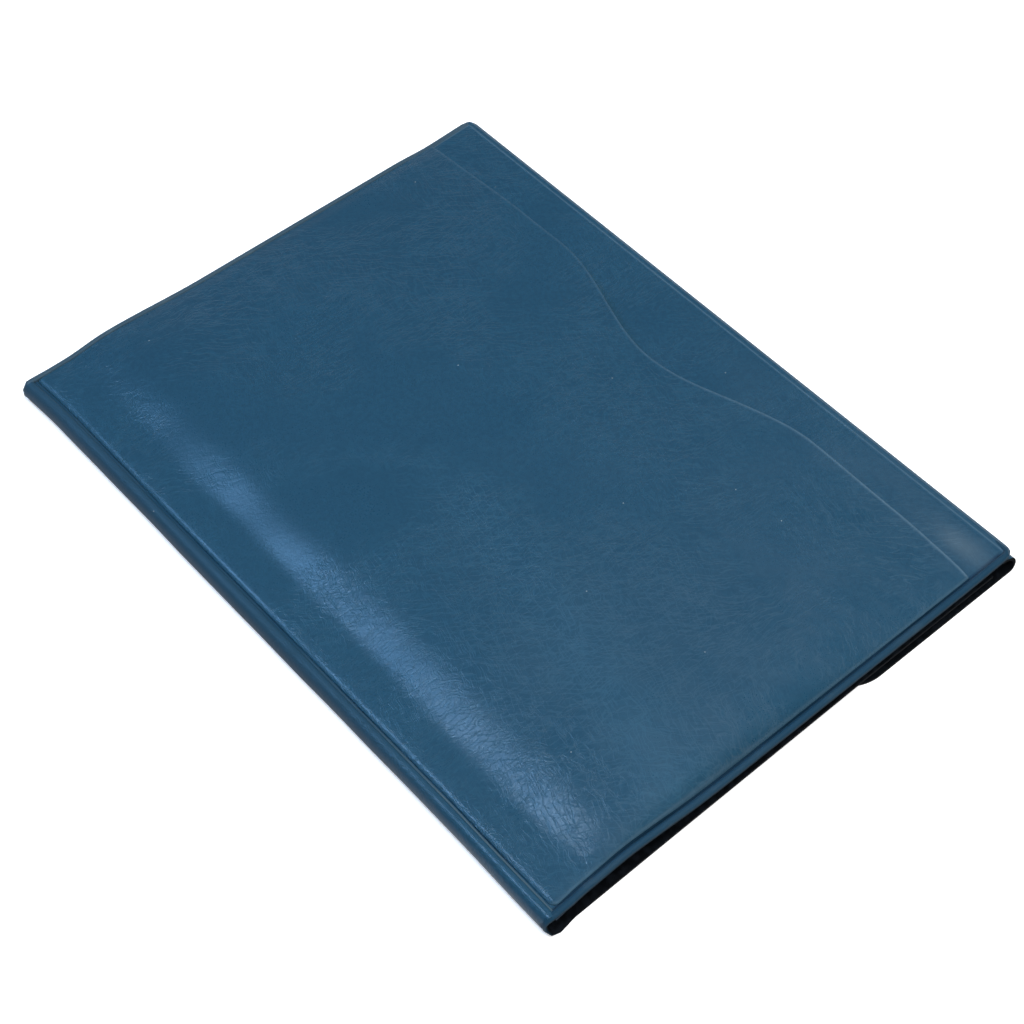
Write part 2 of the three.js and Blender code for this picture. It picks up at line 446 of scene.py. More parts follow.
def flat_grid(name, across, along):
    """A grid with a column or row of points at each station, and each point's two distances."""
    columns = len(across) - 1
    rows = len(along) - 1
    bpy.ops.object.select_all(action="DESELECT")
    bpy.ops.mesh.primitive_grid_add(x_subdivisions=columns, y_subdivisions=rows, size=1)
    piece = bpy.context.object
    piece.name = name
    piece.data.name = name
    points = read_points(piece)
    column = np.rint((points[:, 0] + 0.5) * columns).astype(int)
    row = np.rint((points[:, 1] + 0.5) * rows).astype(int)
    return piece, across[column], along[row]


def keep_value(piece, name, values):
    """A value for each point of the piece, for its finish to read."""
    attribute = piece.data.attributes.new(name, "FLOAT", "POINT")
    attribute.data.foreach_set("value", np.asarray(values, np.float32))


def keep_group(piece, name, weights):
    group = piece.vertex_groups.new(name=name)
    for index, weight in enumerate(weights):
        group.add([index], float(weight), "REPLACE")


def apply_modifiers(piece):
    bpy.ops.object.select_all(action="DESELECT")
    piece.select_set(True)
    bpy.context.view_layer.objects.active = piece
    for modifier in list(piece.modifiers):
        bpy.ops.object.modifier_apply(modifier=modifier.name)
    bpy.ops.object.shade_smooth_by_angle(angle=SHARP_ANGLE)


def raise_faces(piece, relief):
    """Raises both faces of a thickened sheet. The points of its second face follow those of its first."""
    points = read_points(piece)
    points[:, 2] += np.tile(relief, 2)
    write_points(piece, points)


def thicken(piece, offset, edge_round, faces, cut, thin_group="", thin_share=1.0, relief=None):
    """Gives a sheet its thickness and rounds its edges.

    faces are its two finishes, the drawn face's first, and cut is the one that its edges show.
    """
    for material in faces:
        piece.data.materials.append(material)
    wall = piece.modifiers.new("wall", "SOLIDIFY")
    wall.thickness = SHEET
    wall.offset = offset
    wall.material_offset = 1
    wall.material_offset_rim = faces.index(cut)
    wall.vertex_group = thin_group
    wall.thickness_vertex_group = thin_share
    if relief is not None:
        apply_modifiers(piece)
        raise_faces(piece, relief)
    edge = piece.modifiers.new("edge", "BEVEL")
    edge.width = edge_round
    edge.segments = SHEET_EDGE_SEGMENTS
    edge.limit_method = "ANGLE"
    edge.angle_limit = SHARP_ANGLE
    apply_modifiers(piece)


def pocket_sheet():
    """The front pocket, pressed thin along its welds and swollen behind its bottom shelf."""
    width = LENGTH - POCKET_MARGIN_LEFT - POCKET_MARGIN_RIGHT
    length = POCKET_MOUTH - POCKET_BOTTOM
    piece, across, along = flat_grid(
        "pocket_sheet",
        stations(width, near=0.35 * MM, far=0.35 * MM, largest=1.1 * MM, growth=1.2),
        stations(length, near=0.3 * MM, far=0.2 * MM, largest=1.1 * MM, growth=1.15),
    )
    flat_x = across + POCKET_MARGIN_LEFT - LENGTH / 2
    up = POCKET_BOTTOM + (along / length) * (mouth_at(flat_x) - POCKET_BOTTOM)
    from_bottom = up - POCKET_BOTTOM
    left = side_at(-1, up) + POCKET_MARGIN_LEFT + corner_loss(POCKET_CORNER_LEFT, from_bottom)
    right = side_at(1, up) - POCKET_MARGIN_RIGHT - corner_loss(POCKET_CORNER_RIGHT, from_bottom)
    x = left + (right - left) * across / width
    from_side = np.minimum(x - left, right - x)
    from_weld = np.minimum(from_side, from_bottom)
    from_mouth = mouth_at(flat_x) - up
    pressed = np.minimum(rounding(right - x, SIDE_ROUND), rounding(from_bottom, WELD_ROUND))
    seat = body_height(up) + POCKET_GAP * smooth(from_weld, 0, GAP_OPENS)
    seat = seat + pocket_swell(x, up) + pocket_fold(x, up)
    thickness = SHEET * mixed(WELD_THINNING, 1, pressed)
    rightward = smooth(across / width, *MOUTH_GROWTH)
    curl = mixed(MOUTH_CURL_LEFT, MOUTH_CURL_RIGHT, rightward)
    curl = curl * hump(from_mouth - MOUTH_CURL_WIDTH, MOUTH_CURL_WIDTH)
    soft = swells(POCKET_WAVES, x, up) * smooth(from_weld, *POCKET_SWELLS_AT)
    place_points(piece, x, up, seat + thickness + curl + soft)
    # The mouth edge is paler, more so towards the right, and a painted highlight runs along the right edge
    pale_mouth = (1 - smooth(from_mouth, *PALE_MOUTH_WIDTH)) * mixed(PALE_MOUTH_LEFT, 1, rightward)
    side_highlight = SIDE_HIGHLIGHT * (1 - smooth(right - x, *SIDE_HIGHLIGHT_WIDTH))
    keep_value(piece, "worn_and_highlit_edge", np.maximum(pale_mouth, side_highlight))
    # Painted sheen towards the right, and a painted highlight streak below the fold
    keep_value(piece, "painted_sheen", pocket_painted_sheen(x, up))
    keep_value(piece, "streak_highlight", pocket_streak_highlight(x, up))
    keep_group(piece, "full", pressed)
    thicken(piece, -1, POCKET_EDGE_ROUND, [vinyl, inner_shade], vinyl, "full", WELD_THINNING)
    return piece


def backing_sheet():
    """The sheet behind the pocket, with the hem along its mouth edge."""
    length = DEPTH - BODY_START
    piece, across, along = flat_grid(
        "backing_sheet",
        stations(LENGTH, near=0.2 * MM, far=0.25 * MM, largest=1.4 * MM, growth=1.06),
        stations(length, near=1.0 * MM, far=0.12 * MM, largest=1.4 * MM, growth=1.035),
    )
    up = BODY_START + along
    from_edge = DEPTH - up
    loss = corner_loss(BODY_CORNER_RADIUS, from_edge)
    left = side_at(-1, up) + loss
    right = side_at(1, up) - loss - BACKING_HIDDEN
    x = left + (right - left) * across / LENGTH
    inside = smooth(np.minimum(x - left, right - x), *RIM_CLEAR)
    creased = smooth(x - left, SIDE_LINE_AT - CREASE_HALF_WIDTH, SIDE_LINE_AT)
    creased = creased * smooth(right - x, *RIM_CLEAR)
    band = HEM_CROWN * crown(from_edge - HEM_WIDTH / 2, HEM_WIDTH / 2, 2)
    crease = hump(from_edge - HEM_WIDTH, CREASE_HALF_WIDTH)
    groove = CREASE_GROOVE * hump(from_edge - HEM_WIDTH - CREASE_GROOVE_AT, CREASE_HALF_WIDTH)
    drop = HEM_EDGE_DROP * (1 - smooth(from_edge, 0, HEM_EDGE_ROUND))
    soft = swells(BACKING_WAVES, x, up) * smooth(from_edge, HEM_WIDTH, BACKING_SWELLS_AT) * inside
    relief = (band - groove) * inside - drop + CREASE_HEIGHT * crease * creased
    place_points(piece, x, up, body_height(up) - backing_sag(x, up) + soft)
    # A painted highlight along the left side line, and the hem crease paler, partly from wear and partly as
    # a painted highlight
    side_line = hump(x - left - SIDE_LINE_AT, CREASE_HALF_WIDTH)
    side_line = side_line * smooth(from_edge, HEM_WIDTH - CREASE_HALF_WIDTH, HEM_WIDTH)
    keep_value(piece, "worn_and_highlit_edge", np.maximum(crease * creased, side_line))
    # A patch of painted sheen near the right end, and painted sheen towards the right
    patch = hump(x - PATCH_X, PATCH_LENGTH) * hump(from_edge - PATCH_FROM_EDGE, PATCH_WIDTH)
    keep_value(piece, "painted_sheen", SHEEN_RIGHT * smooth(x, 0, LENGTH / 2))
    keep_value(piece, "sheen_patch", patch)
    # Painted shade in the groove beside the right bead, ending before the hem
    groove_end = smooth(from_edge, HEM_WIDTH, 2 * HEM_WIDTH)
    keep_value(piece, "pressed", (1 - smooth(right - x, GROOVE_SHADE_WIDTH, GROOVE_SHADE_END)) * groove_end)
    thicken(piece, -1, BACKING_EDGE_ROUND, [vinyl, inner_shade], vinyl, relief=relief)
    return piece


def path_steps(table, axes):
    """The distances between a path's rows. The first columns of its table are the place."""
    return np.linalg.norm(np.diff(table[:, :axes], axis=0), axis=1)


def path_length(table, axes):
    return float(path_steps(table, axes).sum())


def path_marks(table, axes):
    """The distance along a path to each of its rows."""
    return np.concatenate(([0], np.cumsum(path_steps(table, axes))))


def resample(table, axes):
    """A path's table with its rows at even distances."""
    marks = path_marks(table, axes)
    even = np.linspace(0, marks[-1], math.ceil(marks[-1] / PATH_SPACING) + 1)
    return np.column_stack([np.interp(even, marks, column) for column in table.T])


def soften(table, reach):
    """A path's table with its corners rounded over a number of rows, and its two ends kept."""
    padded = np.pad(table, ((reach, reach), (0, 0)), mode="reflect", reflect_type="odd")
    kernel = np.hanning(2 * reach + 3)[1:-1]
    kernel = kernel / kernel.sum()
    return np.column_stack([np.convolve(column, kernel, mode="valid") for column in padded.T])


def along_path(table, axes, distance):
    """A path's columns, and its heading, at distances along it."""
    marks = path_marks(table, axes)
    heading = np.gradient(table[:, :axes], marks, axis=0)
    heading = heading / np.linalg.norm(heading, axis=1)[:, None]
    rows = np.column_stack((table, heading))
    found = np.column_stack([np.interp(distance, marks, column) for column in rows.T])
    return found[:, :-axes], found[:, -axes:]


def roll_end(side, up):
    """Where the roll ends, pulled in towards its outermost line."""
    return side * (LENGTH / 2 - corner_loss(ROLL_CORNERS[side], up))


def roll_droop(side, from_end, z):
    """How far the crest of the roll hangs down near an end."""
    height = np.clip((z - SHEET / 2) / (ROLL_HEIGHT - SHEET), 0, 1)
    return ROLL_DROOP[side] * height * (1 - smooth(from_end, 0, DROOP_WIDTH))


def roll_angles(start):
    return np.radians(np.linspace(start, ROLL_END, ROLL_POINTS))


def roll_path(start):
    """The line of the sheet that rolls round the bottom edge, from its crest to underneath."""
    angles = roll_angles(start)
    reach = ROLL_REACH - SHEET / 2
    radius = ROLL_HEIGHT / 2 - SHEET / 2
    return np.column_stack((ROLL_REACH + reach * np.cos(angles), ROLL_HEIGHT / 2 + radius * np.sin(angles)))


def under_path(end):
    """The line of the sheet underneath, rising from the roll."""
    up = np.linspace(ROLL_REACH, end, COVER_POINTS)[1:]
    rise = COVER_RISE * np.minimum(1, (up - ROLL_REACH) / (COVER_RISE_UP - ROLL_REACH))
    return np.column_stack((up, SHEET / 2 + rise))


def cover_sheet():
    """The back cover, from the crest of the roll to its far end underneath."""
    path = np.vstack((ROLL_EDGE, roll_path(ROLL_START), under_path(COVER_END)))
    path = soften(resample(path, 2), COVER_SOFTENING)
    length = path_length(path, 2)
    piece, across, along = flat_grid(
        "cover_sheet",
        stations(LENGTH, near=0.5 * MM, far=0.5 * MM, largest=2.0 * MM, growth=1.25),
        stations(length, near=0.22 * MM, far=0.6 * MM, largest=2.2 * MM, growth=1.05),
    )
    found, heading = along_path(path, 2, along)
    up = found[:, 0]
    rolled = 1 - smooth(along, *ROLL_LEFT_AT)
    flare = COVER_FLARE * (1 - rolled) * (1 - smooth(up, *COVER_FLARE_SPAN))
    left = roll_end(-1, up) + ROLL_HIDDEN[-1] * rolled
    right = roll_end(1, up) - ROLL_HIDDEN[1] * rolled + flare
    x = left + (right - left) * across / LENGTH
    underneath = smooth(along, *COVER_UNDER_AT)
    hang = COVER_SAG * between(COVER_SAG_SECTIONS, "share", up) * crown(x, LENGTH / 2, SAG_POWER)
    soft = COVER_SWELL_SHARE * swells(COVER_WAVES, x, along) * (1 - underneath)
    soft = soft * crown(x, LENGTH / 2, COVER_SWELL_POWER)
    z = found[:, 1] - roll_droop(-1, x - left, found[:, 1]) - roll_droop(1, right - x, found[:, 1])
    place_points(piece, x, up + heading[:, 1] * soft, z - heading[:, 0] * soft - hang * underneath)
    # Painted shade on the back cover towards the left, where it is also rougher
    keep_value(piece, "dulled_and_shaded", 1 - smooth(x, *ROLL_SHADE_SPAN))
    thicken(piece, 0, COVER_EDGE_ROUND, [inner_shade, vinyl], inner_shade)
    return piece


def flap_sheet():
    """The closing flap, from its tuck under the hem round its fold to its rounded end."""
    radius = FOLD_RADIUS - SHEET / 2
    angles = np.radians(np.linspace(90, -90, FOLD_POINTS))
    fold_up = DEPTH - FOLD_RADIUS + radius * np.cos(angles)
    fold_z = FOLD_RADIUS + radius * np.sin(angles)
    start = [[FLAP_START, FOLD_RADIUS + radius]]
    end = [[FLAP_END, SHEET / 2]]
    path = resample(np.vstack((start, np.column_stack((fold_up, fold_z)), end)), 2)
    length = path_length(path, 2)
    piece, across, along = flat_grid(
        "flap_sheet",
        stations(FLAP_WIDTH, near=0.4 * MM, far=0.4 * MM, largest=2.2 * MM, growth=1.25),
        stations(length, near=0.4 * MM, far=0.3 * MM, largest=2.0 * MM, growth=1.06),
    )
    found, _ = along_path(path, 2, along)
    loss = corner_loss(FLAP_CORNER_RADIUS, length - along)
    tuck = FLAP_TUCK * (1 - smooth(along, 0, FLAP_TUCK_LENGTH))
    x = (across / FLAP_WIDTH - 0.5) * (FLAP_WIDTH - 2 * loss - 2 * tuck)
    place_points(piece, x, found[:, 0], found[:, 1])
    thicken(piece, 0, FLAP_EDGE_ROUND, [vinyl, inner_shade], inner_shade)
    return piece


def round_bar(name, width, length, height, cuts, edge_round):
    """A straight bar along Y with all its edges rounded, cut into short lengths so that it can be bent."""
    bpy.ops.object.select_all(action="DESELECT")
    bpy.ops.mesh.primitive_cube_add(size=1, scale=(width, length, height))
    bpy.ops.object.transform_apply(location=False, rotation=False, scale=True)
    piece = bpy.context.object
    piece.name = name
    piece.data.name = name
    bpy.ops.object.mode_set(mode="EDIT")
    bpy.ops.mesh.select_mode(type="EDGE")
    bpy.ops.mesh.select_all(action="DESELECT")
    bpy.ops.mesh.edges_select_sharp(sharpness=SHARP_ANGLE)
    bpy.ops.mesh.bevel(offset=edge_round, segments=BAR_EDGE_SEGMENTS, affect="EDGES")
    bpy.ops.mesh.select_all(action="DESELECT")
    bpy.ops.object.mode_set(mode="OBJECT")
    points = read_points(piece)
    for edge in piece.data.edges:
        first, second = (points[index, 1] for index in edge.vertices)
        edge.select = bool(abs(second - first) > length / 2)
    bpy.ops.object.mode_set(mode="EDIT")
    bpy.ops.mesh.subdivide(number_cuts=cuts)
    bpy.ops.object.mode_set(mode="OBJECT")
    return piece


def path_rows(x, up, z, facing, tall, wide):
    """Rows of a bead's path: its place, the direction its top faces, and its height and width as shares."""
    return np.column_stack(np.broadcast_arrays(x, up, z, 0.0, *facing, tall, wide))


def growing(column, stage, share):
    """A bead's height or width as a share, part of the way from one stage of its growth to the next."""
    return mixed(BEAD_GROWTH[stage][column], BEAD_GROWTH[stage + 1][column], share)


def bead_path(side):
    """From the hem round the plan corner, along the rim, round the end of the roll and underneath."""
    size = BEAD_SIZES[side]
    inset = size["width"] / 2 - size["outside"]
    low = size["hem"]
    corner_x = LENGTH / 2 - BODY_CORNER_RADIUS
    corner_up = DEPTH - BODY_CORNER_RADIUS
    corner = BODY_CORNER_RADIUS - inset
    share = np.linspace(0, 1, BEAD_CORNER_POINTS)
    turn = np.radians(90 * (1 - share))
    hem_x = side * (corner_x - BEAD_HEM_RUN * (1 - share))
    hem_z = body_height(DEPTH) - HEM_EDGE_DROP
    hem_tall = low * growing("tall", 0, share)
    turn_x = side * (corner_x + corner * np.cos(turn))
    turn_up = corner_up + corner * np.sin(turn)
    turn_z = hem_z + HEM_EDGE_DROP * share
    turn_tall = low * growing("tall", 1, share)
    rim_up = np.linspace(corner_up, BEAD_ROLL_JOIN, BEAD_RIM_POINTS)[1:]
    rim_x = side_at(side, rim_up) - side * inset
    rim_tall = mixed(1, low, smooth(rim_up, BEAD_LOW_START, POCKET_MOUTH))
    roll = roll_path(BEAD_ROLL_START)
    angles = roll_angles(BEAD_ROLL_START)
    roll_facing = (np.cos(angles), np.sin(angles))
    roll_out = size["under"] * smooth(np.degrees(angles), *BEAD_SWING_ANGLES)
    roll_x = roll_end(side, roll[:, 0]) - side * (inset - roll_out)
    roll_z = roll[:, 1] - roll_droop(side, 0, roll[:, 1])
    roll_tall = mixed(size["rolled"], BEAD_UNDER_TALL, smooth(np.degrees(angles), *BEAD_FLAT_ANGLES))
    under = under_path(BEAD_UNDER_END)
    swing_left = 1 - BEAD_SWING_LOSS * smooth(under[:, 0], ROLL_REACH, BEAD_SWING_END)
    under_x = side * (LENGTH / 2 - inset + size["under"] * swing_left)
    parts = [
        path_rows(hem_x, DEPTH - inset, hem_z, UPWARDS, hem_tall, growing("wide", 0, share)),
        path_rows(turn_x, turn_up, turn_z, UPWARDS, turn_tall, growing("wide", 1, share)),
        path_rows(rim_x, rim_up, body_height(rim_up), UPWARDS, rim_tall, 1.0),
        path_rows(roll_x, roll[:, 0], roll_z, roll_facing, roll_tall, 1.0),
        path_rows(under_x, under[:, 0], under[:, 1], DOWNWARDS, BEAD_UNDER_TALL, 1.0),
    ]
    return soften(resample(np.vstack(parts), 3), BEAD_SOFTENING)


def rim_bead(name, side):
    """The bead of a short side: a bar bent along its path, with painted shade on its lower side."""
    path = bead_path(side)
    length = path_length(path, 3)
    size = BEAD_SIZES[side]
    piece = round_bar(name, size["width"], length, size["height"], BEAD_CUTS, size["round"])
    bar = read_points(piece)
    found, heading = along_path(path, 3, bar[:, 1] + length / 2)
    middle, facing, tall, wide = np.split(found, (3, 6, 7), axis=1)
    out = facing - heading * np.sum(facing * heading, axis=1)[:, None]
    out = out / np.linalg.norm(out, axis=1)[:, None]
    across = np.cross(heading, out)
    points = middle + across * (bar[:, 0:1] * wide) + out * (bar[:, 2:3] * tall)
    place_points(piece, points[:, 0], points[:, 1], points[:, 2])
    height = bar[:, 2] / size["height"]
    # A painted highlight on the left bead, and painted shade low on the right bead
    keep_value(piece, "painted_highlight", np.full(len(bar), size["painted_highlight"]))
    keep_value(piece, "shaded", size["shaded"] * (1 - smooth(height, *BEAD_SHADE)))
    piece.data.materials.append(weld)
    piece.data.materials.append(inner_shade)
    # Faces low on the bead, or turned right over, take the nearly black painted shade
    dark = (height < BEAD_DARK_BELOW) | (facing[:, 2] < BEAD_DARK_TURN)
    for face in piece.data.polygons:
        face.material_index = int(all(dark[index] for index in face.vertices))
    apply_modifiers(piece)
    return piece


def weld_strip():
    """The flattened weld between the pocket's lip and the roll."""
    low = side_at(-1, STRIP_LOW) + BEAD_SIZES[-1]["width"]
    high = side_at(1, STRIP_LOW) - BEAD_SIZES[1]["width"]
    width = POCKET_BOTTOM - STRIP_LOW
    piece = round_bar("weld_strip", width, float(high - low), STRIP_HEIGHT, STRIP_CUTS, STRIP_ROUND)
    bar = read_points(piece)
    x = (low + high) / 2 + bar[:, 1]
    gap = STRIP_GAP_LEFT + (STRIP_GAP_RIGHT - STRIP_GAP_LEFT) * (x - low) / (high - low)
    up = STRIP_LOW + (0.5 - bar[:, 0] / width) * (width - gap)
    z = body_height(up) + STRIP_HEIGHT / 2 + bar[:, 2]
    soft = STRIP_SWELL_SHARE * swells(COVER_WAVES, x, up) * (bar[:, 2] > 0)
    place_points(piece, x, up, z + soft)
    # A painted highlight towards the right end
    keep_value(piece, "painted_highlight", STRIP_HIGHLIGHT * smooth(x, *STRIP_HIGHLIGHT_SPAN))
    piece.data.materials.append(weld)
    apply_modifiers(piece)
    return piece


class Value:
    """A socket of a finish. Arithmetic on it adds Math nodes."""

    def __init__(self, finish, socket):
        self.finish = finish
        self.socket = socket

    def math(self, operation, *terms):
        return self.finish.node("ShaderNodeMath", {"operation": operation}, dict(enumerate(terms)))

    def __add__(self, other):
        return self.math("ADD", self, other)

    def __radd__(self, other):
        return self.math("ADD", other, self)

    def __sub__(self, other):
        return self.math("SUBTRACT", self, other)

    def __rsub__(self, other):
        return self.math("SUBTRACT", other, self)

    def __mul__(self, other):
        return self.math("MULTIPLY", self, other)

    def __rmul__(self, other):
        return self.math("MULTIPLY", other, self)

    def __abs__(self):
        return self.math("ABSOLUTE", self)


class Finish:
    """A material: its nodes are added one by one, and their outputs are used as values."""

    def __init__(self, name):
        self.material = bpy.data.materials.new(name)
        self.material.use_nodes = True
        self.tree = self.material.node_tree
        self.shader = self.tree.nodes["Principled BSDF"]

    def node(self, kind, settings, inputs, output=0):
        made = self.tree.nodes.new(kind)
        for name, value in settings.items():
            setattr(made, name, value)
        for name, value in inputs.items():
            self.feed(made.inputs[name], value)
        return Value(self, made.outputs[output])

    def feed(self, socket, value):
        if isinstance(value, Value):
            self.tree.links.new(value.socket, socket)
        else:
            socket.default_value = value

    def surface(self, inputs):
        for name, value in inputs.items():
            self.feed(self.shader.inputs[name], value)

    def place(self):
        return self.node("ShaderNodeTexCoord", {}, {}, "Object")

    def kept(self, name):
        """A value that keep_value left on the piece's points, or 0 where it left none."""
        return self.node("ShaderNodeAttribute", {"attribute_name": name}, {}, "Fac")

    def noise(self, place, scale, detail=2.0, output="Fac"):
        inputs = {"Vector": place, "Scale": scale, "Detail": detail}
        return self.node("ShaderNodeTexNoise", {}, inputs, output)

    def streaks(self, place, turn, lengths, detail=2.0):
        """Noise drawn out to lengths along axes turned about Z, in degrees."""
        inputs = {"Vector": place, "Rotation": (0, 0, math.radians(turn)), "Scale": lengths}
        drawn_out = self.node("ShaderNodeMapping", {"vector_type": "TEXTURE"}, inputs)
        return self.noise(drawn_out, 1.0, detail)

    def step(self, value, low, high):
        """0 below low and 1 above high, soft between; or the other way round where low is the larger."""
        settings = {"interpolation_type": "SMOOTHSTEP"}
        inputs = {"Value": value, "From Min": low, "From Max": high}
        return self.node("ShaderNodeMapRange", settings, inputs)

    def mix(self, share, first, second):
        """A mix of two colours, which are sockets 6 and 7 of the node and output 2."""
        settings = {"data_type": "RGBA"}
        return self.node("ShaderNodeMix", settings, {0: share, 6: first, 7: second}, 2)

    def shift(self, place, push, amount):
        settings = {"operation": "MULTIPLY_ADD"}
        return self.node("ShaderNodeVectorMath", settings, {0: push, 1: (amount,) * 3, 2: place})

    def bump(self, height, depth):
        inputs = {"Strength": 1.0, "Distance": depth, "Height": height}
        return self.node("ShaderNodeBump", {}, inputs)


VINYL_BLUE = (0.0148, 0.0650, 0.113, 1)
VINYL_DEEP = (0.0112, 0.0510, 0.092, 1)
# Painted shade for the back cover's left part
VINYL_ROLL_SHADE = (0.0115, 0.0465, 0.0815, 1)
# Painted sheen
VINYL_PAINTED_SHEEN = (0.0295, 0.0745, 0.118, 1)
# Painted highlight streak
VINYL_STREAK_HIGHLIGHT = (0.0240, 0.081, 0.134, 1)
# Painted shade in the groove beside the right bead
VINYL_GROOVE_SHADE = (0.005, 0.024, 0.05, 1)
# Pale edges, partly worn and partly painted highlight
VINYL_WORN_AND_HIGHLIT = (0.065, 0.126, 0.178, 1)
VINYL_SHEEN_TINT = (0.85, 0.93, 1.0, 1)
WELD_BLUE = (0.0105, 0.041, 0.073, 1)
WELD_PALE = (0.052, 0.088, 0.115, 1)
WELD_SHADED = (0.003, 0.012, 0.02, 1)
# Nearly black painted shade for the inner faces, and its faint lighter cast
INNER_SHADE_DARK = (0.002, 0.0026, 0.0035, 1)
INNER_SHADE_CAST = (0.005, 0.0065, 0.009, 1)
# Dust, also used for a patch of painted sheen
DUST_AND_SHEEN = (0.30, 0.36, 0.38, 1)

# The vinyl's grain, in cells or waves to the metre, and how far it wanders
PEBBLE_SCALE = 1250
FINE_SCALE = 2600
MOTTLE_SCALE = 900
CLOUD_SCALE = 22
UNEVEN_SCALE = 70
WORN_SCALE = 400
WANDER_SCALE = 140
WANDER = 4 * MM
GRAIN_DEPTH = 0.065 * MM
# Soft folds that the grain lies in, drawn tight in some patches, and the crinkles that break up the painted
# sheen
FOLDS = dict(turn=49, lengths=(8 * MM, 1.5 * MM, 4 * MM))
DRAWN_SCALE = 30
CRINKLES = dict(turn=20, lengths=(11 * MM, 5 * MM, 6 * MM), detail=3)
# Fine creases: the direction, length and spacing of each set, and the scale of the patches it lies in
CREASES = [
    dict(turn=49, lengths=(13 * MM, 1.7 * MM, 4 * MM), patch_scale=24),
    dict(turn=-18, lengths=(11 * MM, 1.4 * MM, 4 * MM), patch_scale=29),
    dict(turn=88, lengths=(9 * MM, 1.2 * MM, 4 * MM), patch_scale=37),
]
CREASE_LINE = 0.042
CREASE_PATCH = (0.42, 0.6)
# Specks of dust: one in about ten of these cells
SPECK_SCALE = 60
SPECK_CHOSEN = (0.89, 0.91)
SPECK_RADIUS = (0.013, 0.007)

WELD_CLOUD_SCALE = 60
WELD_GRAIN_SCALE = 1500
WELD_GRAIN_DEPTH = 0.02 * MM
WELD_RUBS = dict(turn=0, lengths=(8 * MM, 8 * MM, 3 * MM), detail=4)
# The faint cast in the painted shade of the inner faces
INNER_SHADE_SCALE = 500
INNER_SHADE_DEPTH = 0.03 * MM


def crease_lines(finish, place, wandering):
    """Fine creases in three directions, each where its own patches are."""
    creases = 0
    for row in CREASES:
        streaks = finish.streaks(wandering, row["turn"], row["lengths"])
        lines = finish.step(abs(streaks - 0.5), CREASE_LINE, 0.0)
        creases = creases + lines * finish.step(finish.noise(place, row["patch_scale"], 2), *CREASE_PATCH)
    return creases


def dust_specks(finish, place):
    """A small round speck in each chosen cell."""
    settings = {"voronoi_dimensions": "2D", "feature": "F1"}
    inputs = {"Vector": place, "Scale": SPECK_SCALE}
    spot = finish.node("ShaderNodeTexVoronoi", settings, inputs, "Distance")
    cell = finish.node("ShaderNodeTexVoronoi", settings, inputs, "Color")
    lot = finish.node("ShaderNodeSeparateColor", {}, {"Color": cell}, 0)
    return finish.step(spot, *SPECK_RADIUS) * finish.step(lot, *SPECK_CHOSEN)


def vinyl_finish():
    """Soft blue vinyl with a fine leather grain, scattered creases, pale edges that are partly worn and
    partly painted highlight, and a few specks of dust. Painted sheen, a painted highlight streak and
    painted shade are laid into its colour.
    """
    finish = Finish("blue_vinyl")
    place = finish.place()
    wandering = finish.shift(place, finish.noise(place, WANDER_SCALE, 2, "Color"), WANDER)
    cells = {"Vector": wandering, "Scale": PEBBLE_SCALE}
    pebbles = finish.node("ShaderNodeTexVoronoi", {"feature": "F1"}, cells)
    fine = finish.noise(place, FINE_SCALE, 1)
    folds = finish.streaks(wandering, **FOLDS)
    drawn = finish.step(finish.noise(place, DRAWN_SCALE, 2), 0.38, 0.62)
    creases = crease_lines(finish, place, wandering)
    height = pebbles * pebbles * 0.24 + fine * 0.25 + folds * (0.4 + 1.0 * drawn) - creases * 0.45
    cloud = finish.step(finish.noise(place, CLOUD_SCALE, 4), 0.3, 0.7)
    mottle = finish.step(finish.noise(place, MOTTLE_SCALE, 2), 0.3, 0.7)
    shade = cloud * 0.35 + mottle * 0.65 + pebbles * 0.4 - creases * 0.8
    colour = finish.mix(shade, VINYL_BLUE, VINYL_DEEP)
    uneven = 0.5 + finish.noise(place, UNEVEN_SCALE, 3)
    patches = uneven + creases * 1.3 - pebbles * 0.5
    crinkled = finish.step(finish.streaks(wandering, **CRINKLES), 0.4, 0.6)
    # Painted sheen, broken up by patches, creases and crinkles
    sheen_share = finish.kept("painted_sheen") * (patches + creases + crinkled * 0.9 - 0.6)
    colour = finish.mix(sheen_share, colour, VINYL_PAINTED_SHEEN)
    # A painted highlight streak below the fold
    colour = finish.mix(finish.kept("streak_highlight") * patches, colour, VINYL_STREAK_HIGHLIGHT)
    # Painted shade on the back cover towards the left, where it is also rougher
    dulled_and_shaded = finish.kept("dulled_and_shaded")
    colour = finish.mix(dulled_and_shaded, colour, VINYL_ROLL_SHADE)
    # Painted shade in the groove beside the right bead, where it is also rougher
    pressed = finish.kept("pressed")
    colour = finish.mix(pressed, colour, VINYL_GROOVE_SHADE)
    # Pale edges, partly worn and partly painted highlight
    worn_and_highlit = finish.kept("worn_and_highlit_edge") * (0.55 + 0.6 * finish.noise(place, WORN_SCALE, 2))
    colour = finish.mix(worn_and_highlit, colour, VINYL_WORN_AND_HIGHLIT)
    speck = dust_specks(finish, place)
    # Specks of dust, and a patch of painted sheen
    colour = finish.mix(speck * 0.8 + finish.kept("sheen_patch") * 0.13 * uneven, colour, DUST_AND_SHEEN)
    finish.surface({
        "Base Color": colour,
        "Roughness": 0.25 + 0.04 * cloud + 0.05 * pebbles + 0.3 * speck + 0.4 * pressed + 0.25 * dulled_and_shaded,
        "Normal": finish.bump(height, GRAIN_DEPTH),
        "Specular Tint": VINYL_SHEEN_TINT,
    })
    return finish.material


